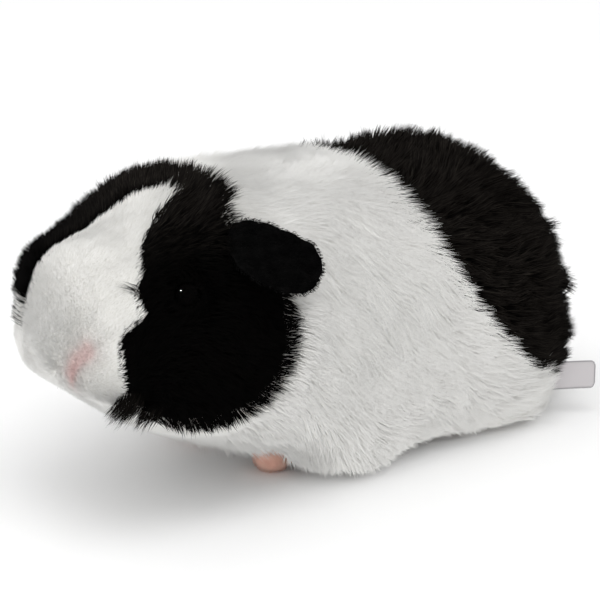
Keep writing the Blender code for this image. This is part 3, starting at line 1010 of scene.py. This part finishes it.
def make_paws():
    felt = felt_material()
    rng = np.random.default_rng(22)
    downwards = np.array([-0.6, 0.0, -0.8])
    for place in ("front", "hind"):
        for side in ("left", "right"):
            node = f"paw_{place}_{side}"
            paw = refined_copy(node, "felt_" + node, felt)
            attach(paw, "root")
            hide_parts(node)
            add_nap(paw, "nap_" + node, downwards, rng,
                    length=1.5 * MM, width=0.2 * MM)


def make_eyes():
    plastic = eye_material()
    for node in EYE_NODES:
        eye = refined_copy(node, "glossy_" + node, plastic)
        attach(eye, "root")
        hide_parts(node)


def make_label():
    """Bare satin label with rounded corners and an overlocked edge, sewn in at its root."""
    low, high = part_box("care_label")
    start = Vector((low.x, high.y, (low.z + high.z) / 2))
    along = Vector((high.x - low.x, low.y - high.y, 0.0))
    length, height = along.length, high.z - low.z
    along.normalize()
    across = Vector((-along.y, along.x, 0.0))

    def label_point(share, level):
        """Share is 0 at the seam and 1 at the free end; level is -1 below and 1 above."""
        past_corner = min(1.0, max(0.0, 1 - (1 - share) * length / LABEL_CORNER))
        inset = LABEL_CORNER * (1 - math.sqrt(1 - past_corner ** 2))
        curl = 0.5 * MM * math.sin(2.6 * share) * (1 + 0.4 * level)
        return start + along * share * length + across * curl + Vector(
            (0, 0, level * (height / 2 - inset)))

    bm = bmesh.new()
    columns, rows = 28, 12
    grid = [[bm.verts.new(label_point(i / columns, 2 * j / rows - 1)) for j in range(rows + 1)]
            for i in range(columns + 1)]
    for first, second in zip(grid, grid[1:]):
        for j in range(rows):
            bm.faces.new((first[j], second[j], second[j + 1], first[j + 1]))
    mesh = bpy.data.meshes.new("satin_label")
    bm.to_mesh(mesh)
    bm.free()
    label = add_object("satin_label", mesh, satin_material())
    thicken = label.modifiers.new("thickness", "SOLIDIFY")
    thicken.thickness = LABEL_THICKNESS
    thicken.offset = 0.0
    apply_modifiers(label)
    label.data.shade_smooth()
    rim = [label_point(i / columns, -1) for i in range(columns + 1)]
    rim += [label_point(1, 2 * j / rows - 1) for j in range(1, rows)]
    rim += [label_point(i / columns, 1) for i in range(columns, -1, -1)]
    hem = thread_tube("label_hem", rim, HEM_RADIUS)
    for piece in (label, hem):
        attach(piece, "root")
    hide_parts("care_label")


def thread_tube(name, route, radius):
    """Overlock stitching: a tube round an edge with a bead for each stitch."""
    material, tree, shader = new_material("overlock_thread", roughness=0.6, specular=0.2)
    twist = noise_socket(tree, scale=2500.0, detail=2.0)
    # The thread's dark grey is partly its own colour and partly painted shadow along the label's
    # edge.
    colour = mix_colour(tree, twist, (0.30, 0.29, 0.30), (0.46, 0.45, 0.46))
    tree.links.new(colour, shader.inputs["Base Color"])
    curve = bpy.data.curves.new(name, "CURVE")
    curve.dimensions = "3D"
    curve.bevel_depth = radius
    curve.bevel_resolution = 2
    curve.use_fill_caps = True
    spline = curve.splines.new("POLY")
    steps = 6                                 # for each stretch of the route
    spline.points.add((len(route) - 1) * steps)
    for k, point in enumerate(spline.points):
        part, share = divmod(k / steps, 1)
        place = route[int(part)].lerp(route[min(int(part) + 1, len(route) - 1)], share)
        point.co = (*place, 1.0)
        point.radius = 0.85 + 0.3 * math.sin(k * math.pi / 2)
    guide = bpy.data.objects.new(name, curve)
    bpy.context.scene.collection.objects.link(guide)
    mesh = bpy.data.meshes.new_from_object(
        guide.evaluated_get(bpy.context.evaluated_depsgraph_get()))
    bpy.data.objects.remove(guide, do_unlink=True)
    tube = add_object(name, mesh, material)
    tube.data.shade_smooth()
    return tube


# ---- studio --------------------------------------------------------------------------

def make_floor():
    bm = bmesh.new()
    bmesh.ops.create_grid(bm, x_segments=1, y_segments=1, size=6.0)
    mesh = bpy.data.meshes.new("studio_floor")
    bm.to_mesh(mesh)
    bm.free()
    material, tree, shader = new_material("studio_floor", roughness=0.9, specular=0.1)
    speckle = noise_socket(tree, scale=3.0)
    colour = mix_colour(tree, speckle, (0.93, 0.93, 0.93), (0.95, 0.95, 0.95))
    tree.links.new(colour, shader.inputs["Base Color"])
    floor = add_object("studio_floor", mesh, material)
    floor.visible_glossy = False      # so that the eyes stay black


def add_light(name, place, size, power):
    """A round lamp that faces the toy."""
    light = bpy.data.lights.new(name, "AREA")
    light.shape = "DISK"
    light.size = size
    light.energy = power
    obj = bpy.data.objects.new(name, light)
    obj.location = place
    obj.rotation_euler = (Vector((0, 0, 0.05)) - Vector(place)).to_track_quat("-Z", "Y").to_euler()
    bpy.context.scene.collection.objects.link(obj)
    return obj


def light_studio():
    world = bpy.data.worlds.new("soft_box")
    world.use_nodes = True
    background = world.node_tree.nodes["Background"]
    background.inputs["Color"].default_value = (1.0, 1.0, 1.0, 1.0)
    background.inputs["Strength"].default_value = 1.0
    bpy.context.scene.world = world
    world.cycles_visibility.glossy = False
    key = add_light("key", place=(-0.4, -0.7, 1.95), size=1.3, power=10.5)
    fill = add_light("fill", place=(-1.4, -0.35, 0.4), size=0.9, power=2.2)
    glint = add_light("glint", place=(-0.85, 0.33, 0.92), size=0.09, power=22.0)
    key.visible_glossy = fill.visible_glossy = False
    glint.visible_diffuse = False     # seen only as the spark in each eye
    bpy.context.scene.view_settings.view_transform = "Standard"


# Camera: where it stands, seen from what it looks at.
VIEW_AZIMUTH = math.radians(-40)
VIEW_ELEVATION = math.radians(18)
VIEW_DISTANCE = 1.0
VIEW_WIDTH = 0.285               # width of the view at that distance
LOOK_OFFSET = Vector((13.3, 12.2, -11.4)) * MM          # from the middle of the toy's box


def make_camera():
    data = bpy.data.cameras.new("camera")
    data.sensor_width = 36.0
    data.lens = data.sensor_width * VIEW_DISTANCE / VIEW_WIDTH
    camera = bpy.data.objects.new("camera", data)
    bpy.context.scene.collection.objects.link(camera)
    back = Vector((math.sin(VIEW_AZIMUTH) * math.cos(VIEW_ELEVATION),
                   -math.cos(VIEW_AZIMUTH) * math.cos(VIEW_ELEVATION),
                   math.sin(VIEW_ELEVATION)))
    target = (CAD_LOW + CAD_HIGH) / 2 + LOOK_OFFSET
    camera.location = target + back * VIEW_DISTANCE
    camera.rotation_mode = "QUATERNION"
    camera.rotation_quaternion = (-back).to_track_quat("-Z", "Y")
    bpy.context.scene.camera = camera


make_camera()
light_studio()
make_floor()
skin = make_skin()
mark_skin(skin)
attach(skin, "root")
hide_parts(*NODES)
make_coats(skin)
make_ears()
make_paws()
make_eyes()
make_label()
